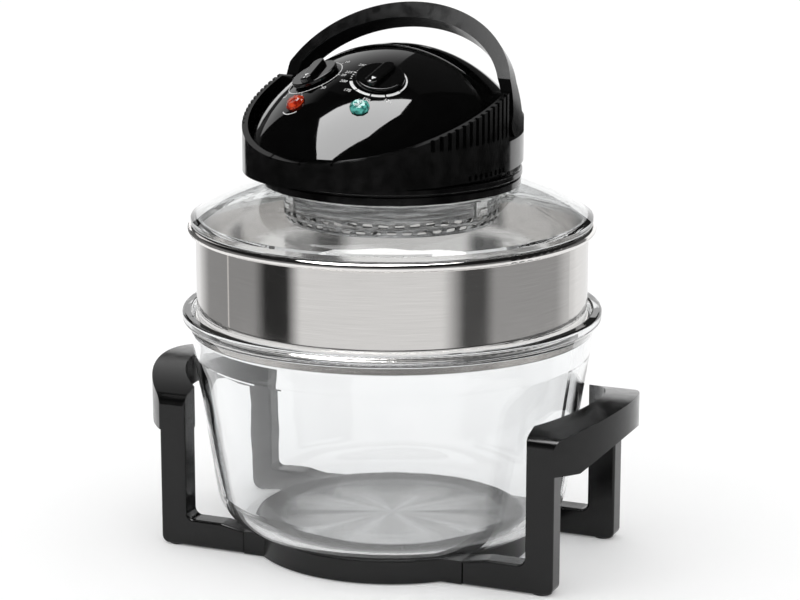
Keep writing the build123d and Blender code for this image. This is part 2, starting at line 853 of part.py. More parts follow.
def carry_handle():
    """A bail whose legs step forward from their pivots, leaning back against its stops."""
    inside = arch(house_half_width - handle_leg, handle_rise - handle_crown)
    bail = arch(house_half_width, handle_rise) - inside
    front = -handle_offset - handle_depth / 2
    rear = -handle_offset + handle_depth / 2
    top = handle_rise + 5
    side = Polyline(
        (-handle_foot_radius, 0),
        (front, handle_elbow),
        (front, top),
        (rear, top),
        (rear, handle_elbow + 6),
        (handle_foot_radius, 0),
        close=True,
    )
    profile = Pos(pivot_y, pivot_z) * (make_face(side) + Circle(handle_foot_radius))
    bail &= extrude(Plane.YZ * profile, house_half_width + 5, both=True)
    bore = Cylinder(pin_radius + 0.02, 2 * (house_half_width - 1.5), rotation=(0, 90, 0))
    return leaned(bail - Pos(0, pivot_y, pivot_z) * bore)


def leaned(shape):
    """A piece of the upright bail, folded back about the pivots to where it rests."""
    return Pos(0, pivot_y, pivot_z) * Rot(-handle_lean, 0, 0) * Pos(0, -pivot_y, -pivot_z) * shape


def cam_x():
    """Span of the cam along X, inside the right cheek."""
    outer = cover_x - panel_shell - 2
    return outer - cam_width, outer


def pivot_pins():
    tip = house_half_width - 1.6
    low, _ = cam_x()
    right = Plane.YZ * rod(pin_radius, low - 1, tip)
    left = Plane.YZ * rod(pin_radius, -tip, -cam_x()[1])
    return [Pos(0, pivot_y, pivot_z) * right, Pos(0, pivot_y, pivot_z) * left]


def switch_cam():
    """A spiral cam: its radius grows with the angle that the handle is folded back."""
    steps = 8
    points = []
    for index in range(steps + 1):
        turn = radians(cam_end_angle) * index / steps
        radius = cam_radius + cam_rise * turn
        points.append((radius * sin(turn), -radius * cos(turn)))
    rise = Spline(*points)
    end_radius = cam_radius + cam_rise * radians(cam_end_angle)
    end = (end_radius * sin(radians(cam_end_angle)), -end_radius * cos(radians(cam_end_angle)))
    back = ThreePointArc(end, (-cam_radius * 0.3, cam_radius * 1.05), (-cam_radius, 0))
    half_way = (-cam_radius * cos(radians(45)), -cam_radius * sin(radians(45)))
    front = ThreePointArc((-cam_radius, 0), half_way, points[0])
    face = make_face(rise.edges() + back.edges() + front.edges())
    low, high = cam_x()
    cam = extrude(Plane.YZ * face, high - low) - Plane.YZ * rod(pin_radius + 0.02, -2, cam_width + 2)
    return leaned(Pos(low, pivot_y, pivot_z) * cam)


def plunger_place():
    low, high = cam_x()
    return Pos((low + high) / 2, pivot_y, 0)


def plunger_top():
    return pivot_z - cam_radius - cam_rise * radians(handle_lean) - film_gap


def switch_plunger():
    """A pin with a round tip under the cam."""
    shoulder = plunger_top() - plunger_radius
    pin = rod(plunger_radius, plunger_top() - 8, shoulder) + Pos(0, 0, shoulder) * Sphere(plunger_radius)
    return plunger_place() * pin


def microswitch():
    top = plunger_top() - 4
    body = block((-5.5, 5.5), (-10, 10), (plate_z, top))
    body -= rod(plunger_radius + shaft_fit, plunger_top() - 8 - 3, top + 1)
    body -= Pos(0, 7, top - 3) * Cylinder(1.3, 20, rotation=(0, 90, 0))
    return plunger_place() * body


# ---- motor and fans
def motor_shaft():
    return rod(shaft_radius, pan_top_z - 30, floor_z + shaft_top)


def motor_rotor():
    low = floor_z + stator_floor
    return sleeve(rotor_radius, shaft_radius + 0.02, low + 1, low + stator_height - 1)


def motor_stator():
    low = floor_z + stator_floor
    half = stator_width / 2
    core = block((-half, half), (-24, 42), (low, low + stator_height))
    core -= rod(rotor_radius + rotor_gap, low - 1, low + stator_height + 1)
    core -= block((-18, 18), (16.5, 28), (low - 1, low + stator_height + 1))
    for sign in (-1, 1):
        core -= Pos(sign * 23, 0, 0) * rod(screw_radius + 0.15, low - 1, low + stator_height + 1)
    return core


def motor_coil():
    low = floor_z + stator_floor
    high = low + stator_height
    build = coil_build
    coil = block((-16, 16), (28 - build, 42 + build), (low - build, high + build))
    coil = fillet(coil.edges().filter_by(Axis.X), 4)
    coil -= block((-17, 17), (28 - film_gap, 42 + film_gap), (low - film_gap, high + film_gap))
    return coil


def bearing_plate():
    """A strap across the stator with a bearing cup at its middle, seen from its stator face."""
    strap = block((-27, 27), (-7, 7), (-1.5, 0))
    cup = rod(7, -7.5, 0)
    plate = strap + cup - rod(shaft_radius + shaft_fit, -9, 1)
    for sign in (-1, 1):
        plate -= Pos(sign * 23, 0, 0) * rod(screw_radius + 0.15, -9, 1)
    return plate


def motor_bearing_plates():
    low = floor_z + stator_floor
    high = low + stator_height
    return [Pos(0, 0, low) * bearing_plate(), Pos(0, 0, high) * mirror(bearing_plate(), about=Plane.XY)]


def motor_bracket():
    """A crossed plate on four legs that carries the motor over the cooling fan."""
    top = floor_z + stator_floor - 7.5
    plate = block((-27, 27), (-12, 12), (top - 2, top))
    reach = sqrt(bracket_foot_x**2 + bracket_foot_y**2)
    for x in (-bracket_foot_x, bracket_foot_x):
        for y in (-bracket_foot_y, bracket_foot_y):
            angle = Vector(x, y).get_signed_angle(Vector(1, 0), Vector(0, 0, -1))
            plate += around(angle, block((0, reach + 4), (-6, 6), (top - 2, top)))
            plate += Pos(x, y, 0) * rod(4, plate_z, top)
    plate -= rod(shaft_radius + 1, top - 5, top + 1)
    for sign in (-1, 1):
        plate -= Pos(sign * 23, 0, 0) * rod(screw_radius + 0.15, top - 5, top + 1)
    return plate


def motor_screws():
    low = floor_z + stator_floor - 7.5 - 2 - screw_head
    high = floor_z + stator_floor + stator_height + 4
    return [Pos(sign * 23, 0, 0) * screw(low, high) for sign in (-1, 1)]


def fan(radius, hub, low, high, tilt):
    """A hub with blades that lean by a tilt from upright."""
    middle = (low + high) / 2
    wheel = rod(hub, low, high)
    length = radius - hub + 2
    blade = Pos(hub - 2 + length / 2, 0, middle) * Rot(tilt, 0, 0) * Box(length, 1.2, (high - low) * 0.96)
    blade &= rod(radius, low, high)
    for index in range(fan_blades):
        wheel += around(index * 360 / fan_blades, blade)
    return wheel - rod(shaft_radius + 0.02, low - 1, high + 1)


def convection_fan():
    high = pan_top_z - 8
    plate = sleeve(heat_fan_radius * 0.96, shaft_radius + 0.02, high, high + 1.2)
    return fan(heat_fan_radius, 8, high - 14, high, 0) + plate


def cooling_fan():
    low = plate_z + 1.2
    return fan(cooling_fan_radius, 10, low, low + 12, 50)


def fan_nut():
    high = pan_top_z - 8 - 14 - film_gap
    nut = extrude(Pos(0, 0, high - 4) * RegularPolygon(6, 6), 4)
    return nut - rod(shaft_radius + 0.02, high - 6, high + 1)


# ---- controls and supply
def spindle(place):
    """A control spindle with a flat on its knob end, along the panel's normal."""
    stem = rod(spindle_radius, -control_drop - 8, knob_height - 4)
    return place * (stem - block((spindle_radius * 0.55, 10), (-10, 10), (knob_base - 3, knob_height)))


def knob(place):
    """A round skirt with a raised bar grip whose front end carries the pointer."""
    low = 0.6
    skirt = rod(knob_radius, low, low + knob_base)
    skirt = fillet(skirt.edges().group_by(Axis.Z)[-1], 1.2)
    grip = SlotOverall(2 * (knob_radius - knob_grip_margin), knob_grip_width)
    bar = extrude(Pos(0, 0, low + knob_base - 1) * Rot(0, 0, 90) * grip, knob_height - knob_base, taper=6)
    bar = fillet(bar.edges().group_by(Axis.Z)[-1], 1.0)
    bore = rod(spindle_radius + 0.02, 0, knob_height - 4 + film_gap)
    bore -= block((spindle_radius * 0.55 + 0.02, 10), (-10, 10), (-1, knob_height))
    return place * (skirt + bar - bore)


def control_box(place, terminals):
    """The body of the timer or the thermostat behind the panel."""
    half = control_size / 2
    top = -control_drop - film_gap
    body = block((-half, half), (-half, half), (top - control_height, top))
    body = chamfer(body.edges().filter_by(Axis.Z), 4)
    body -= rod(spindle_radius + shaft_fit, -control_drop - 8.2, 0)
    tab = block((-2.4, 2.4), (-0.4, 0.4), (top - control_height - 6, top - control_height))
    for index in range(terminals):
        body += Pos(-9 + index * 9, 0, 0) * tab
    return place * body


def lens(place):
    """A faceted lamp lens with a tube behind the panel that holds the lamp."""
    rim = extrude(RegularPolygon(lens_radius, 10), 1.6)
    crown = extrude(Pos(0, 0, 1.6) * RegularPolygon(lens_radius, 10), 2.6, taper=45)
    tail = rod(lens_radius - 0.8, -9, 0.1)
    cap = Pos(0, 0, 0.1) * (rim + crown)
    return place * (cap + tail - rod(lamp_radius + 0.1, -10, -0.8))


def lamp(place):
    bulb = rod(lamp_radius, -12, -1.5)
    return place * (fillet(bulb.edges().group_by(Axis.Z)[-1], 1.5))


def terminal_block():
    rear = house_centre_y + house_half_length - house_wall - 30
    body = block((-15, 15), (rear - 14, rear), (plate_z, plate_z + 12))
    for x in (-9, 0, 9):
        body -= Pos(x, rear - 7, plate_z + 6) * Cylinder(2.2, 20, rotation=(90, 0, 0))
        body -= Pos(x, rear - 7, 0) * rod(2.0, plate_z + 8, plate_z + 14)
    return body


def inlet_grommet():
    rear = house_centre_y + house_half_length
    outside = [(9, -4), (9, -1.4), (6, -0.5), (6, 5), (8, 5.6), (8, 11), (5.5, 13)]
    grommet = turned([(3.5, -4), *outside, (3.5, 13)])
    return Pos(0, rear - house_wall, inlet_z()) * Rot(-90, 0, 0) * grommet


os.makedirs("parts", exist_ok=True)
save("base_ring", base_ring())
save("side_handle_right", side_handle(0))
save("side_handle_left", side_handle(180))
save("stand_screws", *stand_screws())
save("rubber_feet", *rubber_feet())
save("glass_bowl", glass_bowl())
save("extender_ring", extender_ring())
save("glass_lid", glass_lid())
save("upper_gasket", sleeve(lid_land_radius, lid_hole_radius + 1, lid_land_z, collar_z))
save("lower_gasket", sleeve(lid_land_radius - 2, lid_hole_radius + 1, pan_z, lid_land_z - lid_glass))
save("lid_collar", lid_collar())
save("clamp_screws", *clamp_screws())
save("reflector_pan", reflector_pan())
save("heater_guard", heater_guard())
save("guard_clips", *guard_clips())
save("halogen_tube", halogen_tube())
save("tube_end_caps", *tube_end_caps())
save("tube_clips", *tube_clips())
save("insulation_disc", insulation_disc())
save("lower_housing", lower_housing())
save("front_panel", front_panel())
save("rear_cover", rear_cover())
save("housing_screws", *housing_screws())
save("carry_handle", carry_handle())
save("pivot_pins", *pivot_pins())
save("switch_cam", switch_cam())
save("switch_plunger", switch_plunger())
save("microswitch", microswitch())
save("motor_shaft", motor_shaft())
save("motor_rotor", motor_rotor())
save("motor_stator", motor_stator())
save("motor_coil", motor_coil())
save("motor_bearing_plates", *motor_bearing_plates())
save("motor_bracket", motor_bracket())
save("motor_screws", *motor_screws())
save("convection_fan", convection_fan())
save("cooling_fan", cooling_fan())
save("fan_nut", fan_nut())
save("timer_knob", knob(timer_place))
save("timer_spindle", spindle(timer_place))
save("timer_mechanism", control_box(timer_place, 3))
save("temperature_knob", knob(temperature_place))
save("temperature_spindle", spindle(temperature_place))
save("thermostat", control_box(temperature_place, 2))
save("red_lens", lens(red_place))
save("green_lens", lens(green_place))
save("indicator_lamps", lamp(red_place), lamp(green_place))
save("terminal_block", terminal_block())
save("inlet_grommet", inlet_grommet())
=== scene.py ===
import json
from math import ceil, cos, pi, radians, sin, sqrt

import bpy
from mathutils import Euler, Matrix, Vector


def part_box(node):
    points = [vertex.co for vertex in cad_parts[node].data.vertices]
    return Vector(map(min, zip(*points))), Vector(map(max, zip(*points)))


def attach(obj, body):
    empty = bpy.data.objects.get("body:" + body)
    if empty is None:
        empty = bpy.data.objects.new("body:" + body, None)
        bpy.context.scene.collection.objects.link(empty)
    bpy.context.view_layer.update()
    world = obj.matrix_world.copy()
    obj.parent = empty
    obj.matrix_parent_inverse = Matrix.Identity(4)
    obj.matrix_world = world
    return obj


# Halogen oven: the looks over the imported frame. Metres, +Z up, the head's dials towards -Y.

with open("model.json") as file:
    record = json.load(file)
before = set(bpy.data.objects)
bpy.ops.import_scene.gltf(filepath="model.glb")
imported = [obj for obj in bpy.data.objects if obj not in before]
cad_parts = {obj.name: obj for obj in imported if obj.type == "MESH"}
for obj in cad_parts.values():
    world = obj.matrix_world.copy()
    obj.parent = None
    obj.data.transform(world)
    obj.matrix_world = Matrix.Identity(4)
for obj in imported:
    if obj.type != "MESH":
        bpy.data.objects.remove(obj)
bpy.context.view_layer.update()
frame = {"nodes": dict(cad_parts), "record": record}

MM = 0.001
NODES = frame["nodes"]

# ---- sizes that repeat the part's own
DOME_CENTRE = Vector((0.0, 13 * MM, 281 * MM))
DOME_RADII = Vector((119 * MM, 165 * MM, 119 * MM))
TIMER_AT = (-31.0 * MM, -63.5 * MM)
TEMPERATURE_AT = (25.0 * MM, -63.5 * MM)
RED_LAMP_AT = (-29.5 * MM, -95.5 * MM)
KNOB_TOP = 7.1 * MM
TUBE_RING_RADIUS = 62 * MM
BOWL_FLAT_RADIUS = 106 * MM
BOWL_FLOOR_DEPTH = 7 * MM
BOWL_RING_PITCH = 1.7 * MM

# ---- printed marks
PRINT_LIFT = 0.12 * MM
PRINT_SHIFT = -1.0 * MM
KNOB_MARK_LIFT = 0.06 * MM
ARC_STEP = 3
NUMBER_HEIGHT = 4.2 * MM
TIMER_RING = 22.4 * MM
TEMPERATURE_RING = 20.9 * MM
TIMER_NUMBERS_OUT = 5.2 * MM
TEMPERATURE_NUMBERS_OUT = 5.6 * MM
TIMER_NUMBERS = {"10": 42, "20": -10, "30": -52, "40": -93, "50": -138, "60": 172}
TEMPERATURE_NUMBERS = {"250": 150, "225": 180, "200": 209, "175": 239, "150": 281, "125": 316}

# ---- the photograph's camera
CAMERA_PLACE = Vector((0.9753, -1.7595, 0.6812))
CAMERA_PITCH = 13.51
CAMERA_YAW = 29.0
CAMERA_LENS = 118.08
CAMERA_SHIFT = 0.0099


# ---- materials
NOISE_LOW = 0.35
NOISE_HIGH = 0.65
GLASS_IOR = 1.47


class Surface:
    """A Principled material: fixed numbers sit on its own sockets, varied ones come from noise."""

    def __init__(self, name, roughness=0.5, **sockets):
        self.material = bpy.data.materials.new(name)
        self.material.use_nodes = True
        self.tree = self.material.node_tree
        self.shader = self.tree.nodes["Principled BSDF"]
        self.output = self.tree.nodes["Material Output"]
        self.shader.inputs["Roughness"].default_value = roughness
        for socket, value in sockets.items():
            self.shader.inputs[socket.replace("_", " ")].default_value = value
        self.place = self.node("ShaderNodeTexCoord").outputs["Object"]

    def node(self, kind, **properties):
        made = self.tree.nodes.new(kind)
        for name, value in properties.items():
            setattr(made, name, value)
        return made

    def link(self, source, target):
        self.tree.links.new(source, target)

    def math(self, operation, first, second=None):
        made = self.node("ShaderNodeMath", operation=operation)
        for socket, value in zip(made.inputs, (first, second)):
            if isinstance(value, (int, float)):
                socket.default_value = value
            elif value is not None:
                self.link(value, socket)
        return made.outputs[0]

    def noise(self, size, detail=3.0, stretch=(1, 1, 1)):
        """Noise whose features are about size metres across, longer where stretch is larger."""
        mapping = self.node("ShaderNodeMapping")
        mapping.inputs["Scale"].default_value = [1 / (size * s) for s in stretch]
        self.link(self.place, mapping.inputs["Vector"])
        made = self.node("ShaderNodeTexNoise")
        made.inputs["Scale"].default_value = 1.0
        made.inputs["Detail"].default_value = detail
        self.link(mapping.outputs["Vector"], made.inputs["Vector"])
        return made.outputs["Fac"]

    def span(self, value, low, high):
        """Noise value between NOISE_LOW and NOISE_HIGH becomes a number between low and high."""
        made = self.node("ShaderNodeMapRange")
        for socket, number in zip(list(made.inputs)[1:5], (NOISE_LOW, NOISE_HIGH, low, high)):
            socket.default_value = number
        self.link(value, made.inputs["Value"])
        return made.outputs["Result"]

    def colours(self, value, *stops):
        """The base colour runs through stops of (position, (r, g, b)) as value goes from 0 to 1."""
        ramp = self.node("ShaderNodeValToRGB")
        elements = ramp.color_ramp.elements
        while len(elements) < len(stops):
            elements.new(0.5)
        for element, (position, colour) in zip(elements, stops):
            element.position = position
            element.color = (*colour, 1)
        self.link(value, ramp.inputs["Fac"])
        self.link(ramp.outputs["Color"], self.shader.inputs["Base Color"])
        return self

    def rough(self, value, low, high):
        self.link(self.span(value, low, high), self.shader.inputs["Roughness"])
        return self

    def bump(self, value, depth, strength=1.0):
        made = self.node("ShaderNodeBump")
        made.inputs["Distance"].default_value = depth
        made.inputs["Strength"].default_value = strength
        self.link(value, made.inputs["Height"])
        self.link(made.outputs["Normal"], self.shader.inputs["Normal"])
        return self

    def lets_lamps_through(self):
        """Clear glass casts no dark shadow: lamp rays pass straight through it."""
        clear = self.node("ShaderNodeBsdfTransparent")
        path = self.node("ShaderNodeLightPath")
        mix = self.node("ShaderNodeMixShader")
        self.link(path.outputs["Is Shadow Ray"], mix.inputs[0])
        self.link(self.shader.outputs[0], mix.inputs[1])
        self.link(clear.outputs[0], mix.inputs[2])
        self.link(mix.outputs[0], self.output.inputs["Surface"])
        return self


def grey(level, warmth=0.0):
    return (level * (1 + warmth), level, level * (1 - warmth))


def black_plastic(name, level, rough_low, rough_high, grain, depth, specular):
    """Moulded black plastic: a trace of mottling, uneven gloss and a fine moulded grain."""
    plastic = Surface(name, Specular_IOR_Level=specular)
    dark, light = grey(level * 0.8), grey(level * 1.25, -0.03)
    plastic.colours(plastic.noise(14 * MM), (0.3, dark), (0.7, light))
    plastic.rough(plastic.noise(9 * MM, 5), rough_low, rough_high)
    return plastic.bump(plastic.noise(grain, 2), depth).material


def bright_metal(name, level, warmth, rough_low, rough_high, streak, depth):
    """Rolled or pressed sheet metal with its fine streaks."""
    metal = Surface(name, Metallic=1.0)
    lines = metal.noise(0.25 * MM, 4, streak)
    metal.colours(lines, (0.35, grey(level * 0.93, warmth)), (0.65, grey(level * 1.05, warmth)))
    metal.rough(lines, rough_low, rough_high)
    return metal.bump(lines, depth).material


def moulded(name, colour, rough_low, rough_high, speck, depth, **sockets):
    """A plain part in one material with specks, uneven sheen and surface grain."""
    part = Surface(name, **sockets)
    dark = tuple(c * 0.86 for c in colour)
    light = tuple(min(1.0, c * 1.08) for c in colour)
    part.colours(part.noise(speck, 4), (0.35, dark), (0.65, light))
    part.rough(part.noise(speck * 4, 4), rough_low, rough_high)
    return part.bump(part.noise(speck, 2), depth).material


def bowl_glass():
    """Pressed glass: faint ripple in the wall, fine concentric rings pressed into the floor."""
    glass = Surface("bowl_glass_look", 0.01, Transmission_Weight=1.0, IOR=GLASS_IOR)
    glass.colours(glass.noise(60 * MM), (0.3, (0.925, 0.933, 0.937)), (0.7, (0.95, 0.955, 0.958)))
    split = glass.node("ShaderNodeSeparateXYZ")
    glass.link(glass.place, split.inputs[0])
    flat = glass.node("ShaderNodeCombineXYZ")
    glass.link(split.outputs["X"], flat.inputs["X"])
    glass.link(split.outputs["Y"], flat.inputs["Y"])
    length = glass.node("ShaderNodeVectorMath", operation="LENGTH")
    glass.link(flat.outputs[0], length.inputs[0])
    radius = length.outputs["Value"]
    rings = glass.math("SINE", glass.math("MULTIPLY", radius, 2 * pi / BOWL_RING_PITCH))
    inside = glass.math("LESS_THAN", radius, BOWL_FLAT_RADIUS)
    floor_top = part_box("glass_bowl")[0].z + BOWL_FLOOR_DEPTH
    floor = glass.math("LESS_THAN", split.outputs["Z"], floor_top)
    pressed = glass.math("MULTIPLY", rings, glass.math("MULTIPLY", inside, floor))
    ripple = glass.math("MULTIPLY", glass.noise(45 * MM, 1), 0.6)
    glass.bump(glass.math("ADD", glass.math("MULTIPLY", pressed, 0.12), ripple), 0.7 * MM)
    return glass.lets_lamps_through().material


def clear_glass(name, ripple, tint):
    """Smooth glass with a slow ripple."""
    glass = Surface(name, 0.0, Transmission_Weight=1.0, IOR=GLASS_IOR)
    glass.colours(glass.noise(50 * MM), (0.3, tuple(c * 0.985 for c in tint)), (0.7, tint))
    glass.bump(glass.noise(40 * MM, 1), ripple)
    return glass.lets_lamps_through().material


def ring_steel():
    """Bright rolled stainless: lines along the rolling direction, and a slow waver of the sheet."""
    steel = Surface("ring_steel_look", Metallic=1.0)
    lines = steel.noise(0.22 * MM, 5, (160, 160, 1))
    patches = steel.noise(22 * MM, 3, (1, 1, 2.5))
    steel.colours(lines, (0.3, grey(0.70, 0.025)), (0.7, grey(0.80, 0.02)))
    steel.rough(patches, 0.05, 0.1)
    waver = steel.math("MULTIPLY", steel.noise(38 * MM, 2, (1, 1, 1.8)), 9.0)
    steel.bump(steel.math("ADD", lines, waver), 0.012 * MM, 0.7)
    return steel.material


def lamp_lens(name, deep, bright, glow):
    """Faceted coloured plastic, with a painted glow: a faint emission stands in for light gathered
    in its facets.
    """
    lens = Surface(name, 0.08, Transmission_Weight=0.55, IOR=1.5)
    lens.colours(lens.noise(3.5 * MM, 1), (0.4, deep), (0.62, bright))
    # painted glow: the lens gives off a faint light in its bright colour
    lens.shader.inputs["Emission Color"].default_value = (*bright, 1)
    lens.shader.inputs["Emission Strength"].default_value = glow
    lens.bump(lens.noise(3 * MM, 0), 0.8 * MM)
    return lens.material


def print_white():
    ink = Surface("print_white_look", Specular_IOR_Level=0.3)
    ink.colours(ink.noise(0.8 * MM), (0.35, grey(0.72)), (0.65, grey(0.86)))
    ink.rough(ink.noise(2 * MM), 0.35, 0.5)
    return ink.material


def guard_steel():
    """Thin pressed steel rippled along its band, its colour dark and running light and dark along
    the ripples as painted reflection streaks.
    """
    steel = Surface("guard_steel_look", Metallic=1.0)
    ripples_and_painted_streaks = steel.noise(1.8 * MM, 2, (16, 16, 1))
    # painted reflection: the colour turns dark and light along the ripples, like mirrored streaks
    steel.colours(ripples_and_painted_streaks, (0.35, grey(0.2)), (0.65, grey(0.5)))
    steel.rough(steel.noise(6 * MM), 0.06, 0.14)
    return steel.bump(ripples_and_painted_streaks, 0.7 * MM).material


LOOKS = {
    "black_gloss": black_plastic("black_gloss_look", 0.0014, 0.03, 0.05, 6 * MM, 0.003 * MM, 0.45),
    "black_satin": black_plastic("black_satin_look", 0.0018, 0.1, 0.16, 1.2 * MM, 0.004 * MM, 0.45),
    "stand_black": black_plastic(
        "stand_black_look", 0.0022, 0.14, 0.22, 0.9 * MM, 0.004 * MM, 0.36
    ),
    "knob_black": black_plastic("knob_black_look", 0.0014, 0.06, 0.1, 4 * MM, 0.004 * MM, 0.45),
    "bowl_glass": bowl_glass(),
    "lid_glass": clear_glass("lid_glass_look", 0.2 * MM, (0.93, 0.94, 0.94)),
    "ring_steel": ring_steel(),
    "heater_steel": bright_metal("heater_steel_look", 0.78, 0.01, 0.1, 0.2, (30, 30, 1), 0.01 * MM),
    "inner_steel": bright_metal("inner_steel_look", 0.6, 0.0, 0.25, 0.4, (12, 12, 3), 0.01 * MM),
    "quartz": clear_glass("quartz_look", 0.05 * MM, (0.99, 0.985, 0.97)),
    "ceramic": moulded("ceramic_look", (0.82, 0.79, 0.73), 0.6, 0.8, 1.5 * MM, 0.05 * MM),
    "insulation": moulded("insulation_look", (0.66, 0.6, 0.5), 0.8, 0.95, 2 * MM, 0.15 * MM),
    "silicone": moulded("silicone_look", (0.02, 0.02, 0.021), 0.5, 0.65, 2 * MM, 0.02 * MM),
    "rubber": moulded("rubber_look", (0.016, 0.016, 0.016), 0.6, 0.8, 1 * MM, 0.04 * MM),
    "copper": moulded(
        "copper_look", (0.6, 0.22, 0.1), 0.25, 0.4, 0.6 * MM, 0.08 * MM, Metallic=0.8
    ),
    "laminate": bright_metal("laminate_look", 0.25, 0.02, 0.4, 0.6, (60, 60, 2), 0.1 * MM),
    "fan_plastic": moulded("fan_plastic_look", (0.05, 0.05, 0.055), 0.45, 0.6, 1.5 * MM, 0.02 * MM),
    "aluminium_fan": bright_metal(
        "aluminium_fan_look", 0.8, 0.0, 0.25, 0.4, (20, 20, 4), 0.02 * MM
    ),
    "control_body": moulded("control_body_look", (0.72, 0.7, 0.64), 0.4, 0.55, 2 * MM, 0.02 * MM),
    # the last number for each lens is its painted glow
    "red_lens": lamp_lens("red_lens_look", (0.2, 0.004, 0.002), (0.9, 0.1, 0.03), 0.05),
    "green_lens": lamp_lens("green_lens_look", (0.002, 0.09, 0.08), (0.2, 0.75, 0.66), 0.05),
    "lamp_glass": clear_glass("lamp_glass_look", 0.02 * MM, (0.98, 0.9, 0.84)),
    "print_white": print_white(),
}

OWN_LOOKS = {
    "heater_guard": guard_steel(),
    "carry_handle": black_plastic(
        "carry_handle_look", 0.0018, 0.14, 0.22, 1.2 * MM, 0.004 * MM, 0.2
    ),
}


for part in frame["record"]["subparts"]:
    look = OWN_LOOKS.get(part["node"], LOOKS[part["material_slot"]])
    materials = NODES[part["node"]].data.materials
    for index in range(len(materials)):
        materials[index] = look


# ---- pieces laid on the front panel
def new_piece(name, points, faces, look, smooth=False):
    mesh = bpy.data.meshes.new(name)
    mesh.from_pydata([tuple(p) for p in points], [], faces)
    mesh.update()
    for polygon in mesh.polygons:
        polygon.use_smooth = smooth
    piece = bpy.data.objects.new(name, mesh)
    bpy.context.scene.collection.objects.link(piece)
    mesh.materials.append(LOOKS[look])
    return piece


def dome_height(x, y):
    """Height of the front panel's surface."""
    reach = 1 - ((y - DOME_CENTRE.y) / DOME_RADII.y) ** 2 - (x / DOME_RADII.x) ** 2
    return DOME_CENTRE.z + DOME_RADII.z * sqrt(reach)


class Place:
    """A plane that touches the front panel, with X to the right, Y up the panel and Z out of it."""

    def __init__(self, at):
        x, y = at
        self.origin = Vector((x, y, dome_height(x, y)))
        away = self.origin - DOME_CENTRE
        self.z = Vector([a / r**2 for a, r in zip(away, DOME_RADII)]).normalized()
        self.x = Vector((0, 1, 0)).cross(self.z).normalized()
        self.y = self.z.cross(self.x)

    def point(self, u, v, height=0.0):
        return self.origin + self.x * u + self.y * v + self.z * height

    def on_panel(self, u, v):
        """The point of the panel under (u, v), raised by the thickness of the print."""
        start = self.point(u, v) - DOME_CENTRE
        a = sum((n / r) ** 2 for n, r in zip(self.z, DOME_RADII))
        b = sum(n * s / r**2 for n, s, r in zip(self.z, start, DOME_RADII))
        c = sum((s / r) ** 2 for s, r in zip(start, DOME_RADII)) - 1
        along = (-b + sqrt(b * b - a * c)) / a
        return DOME_CENTRE + start + self.z * (along + PRINT_LIFT)


def printed_arc(name, place, radius, width, start, end):
    """A band of ink along a circle, from one angle to another in degrees."""
    count = max(2, ceil(abs(end - start) / ARC_STEP))
    points = []
    for index in range(count + 1):
        angle = radians(start + (end - start) * index / count)
        for r in (radius - width / 2, radius + width / 2):
            points.append(place.on_panel(r * cos(angle), r * sin(angle)))
    faces = [(2 * i, 2 * i + 1, 2 * i + 3, 2 * i + 2) for i in range(count)]
    return new_piece(name, points, faces, "print_white")


def printed_ticks(name, place, inner, outer, width, angles):
    """Short radial strokes."""
    points, faces = [], []
    for angle in angles:
        along = Vector((cos(radians(angle)), sin(radians(angle))))
        across = Vector((-along.y, along.x)) * width / 2
        near, far = along * inner, along * outer
        corners = (near - across, far - across, far + across, near + across)
        faces.append(tuple(range(len(points), len(points) + 4)))
        points += [place.on_panel(c.x, c.y) for c in corners]
    return new_piece(name, points, faces, "print_white")


def printed_number(name, place, text, radius, angle):
    """A number set upright beside its dial."""
    curve = bpy.data.curves.new(name, "FONT")
    curve.body = text
    curve.size = NUMBER_HEIGHT
    curve.align_x = "CENTER"
    curve.align_y = "CENTER"
    source = bpy.data.objects.new(name + "_outline", curve)
    mesh = bpy.data.meshes.new_from_object(source)
    centre = Vector((radius * cos(radians(angle)), radius * sin(radians(angle))))
    points = [place.on_panel(centre.x + v.co.x, centre.y + v.co.y) for v in mesh.vertices]
    faces = [tuple(p.vertices) for p in mesh.polygons]
    bpy.data.objects.remove(source)
    return new_piece(name, points, faces, "print_white")


def knob_mark(name, place, outline, height):
    """A flat white mark on a knob, given by its outline in the knob's plane."""
    points = [place.point(u, v, height + KNOB_MARK_LIFT) for u, v in outline]
    return new_piece(name, points, [tuple(range(len(points)))], "print_white")


timer = Place(TIMER_AT)
timer_print = Place((TIMER_AT[0] + PRINT_SHIFT, TIMER_AT[1]))
temperature = Place(TEMPERATURE_AT)
temperature_print = Place((TEMPERATURE_AT[0] + PRINT_SHIFT, TEMPERATURE_AT[1]))
red_lamp = Place(RED_LAMP_AT)

def ticks(name, place, ring, inner, outer, width, angles):
    """Strokes about a printed ring, from inner to outer millimetres off it."""
    return printed_ticks(name, place, ring + inner * MM, ring + outer * MM, width * MM, angles)


printed = [
    printed_arc("timer_ring", timer_print, TIMER_RING, 0.5 * MM, -180, 180),
    ticks("timer_ticks", timer_print, TIMER_RING, -0.9, 0.3, 0.5, range(-138, 50, 9)),
    ticks("timer_long_ticks", timer_print, TIMER_RING, 0, 2, 0.6, TIMER_NUMBERS.values()),
    ticks(
        "temperature_dots", temperature_print, TEMPERATURE_RING, -0.3, 0.9, 0.9, range(146, 208, 8)
    ),
    ticks(
        "temperature_long_ticks", temperature_print, TEMPERATURE_RING, -0.9, 2.2, 0.7, (141, 177)
    ),
    ticks("temperature_start", temperature_print, TEMPERATURE_RING, 0.6, 2.6, 3.2, (93,)),
    printed_arc("temperature_arc", temperature_print, TEMPERATURE_RING, 1.2 * MM, -9, 88),
    printed_arc("red_lamp_arc", red_lamp, 11.5 * MM, 0.7 * MM, 208, 292),
]
for index, (start, end) in enumerate(((213, 247), (250, 283), (286, 314), (317, 349))):
    name = f"temperature_band_{index}"
    printed.append(printed_arc(name, temperature_print, TEMPERATURE_RING, 2.4 * MM, start, end))
for text, angle in TIMER_NUMBERS.items():
    name = f"timer_number_{text}"
    printed.append(printed_number(name, timer_print, text, TIMER_RING + TIMER_NUMBERS_OUT, angle))
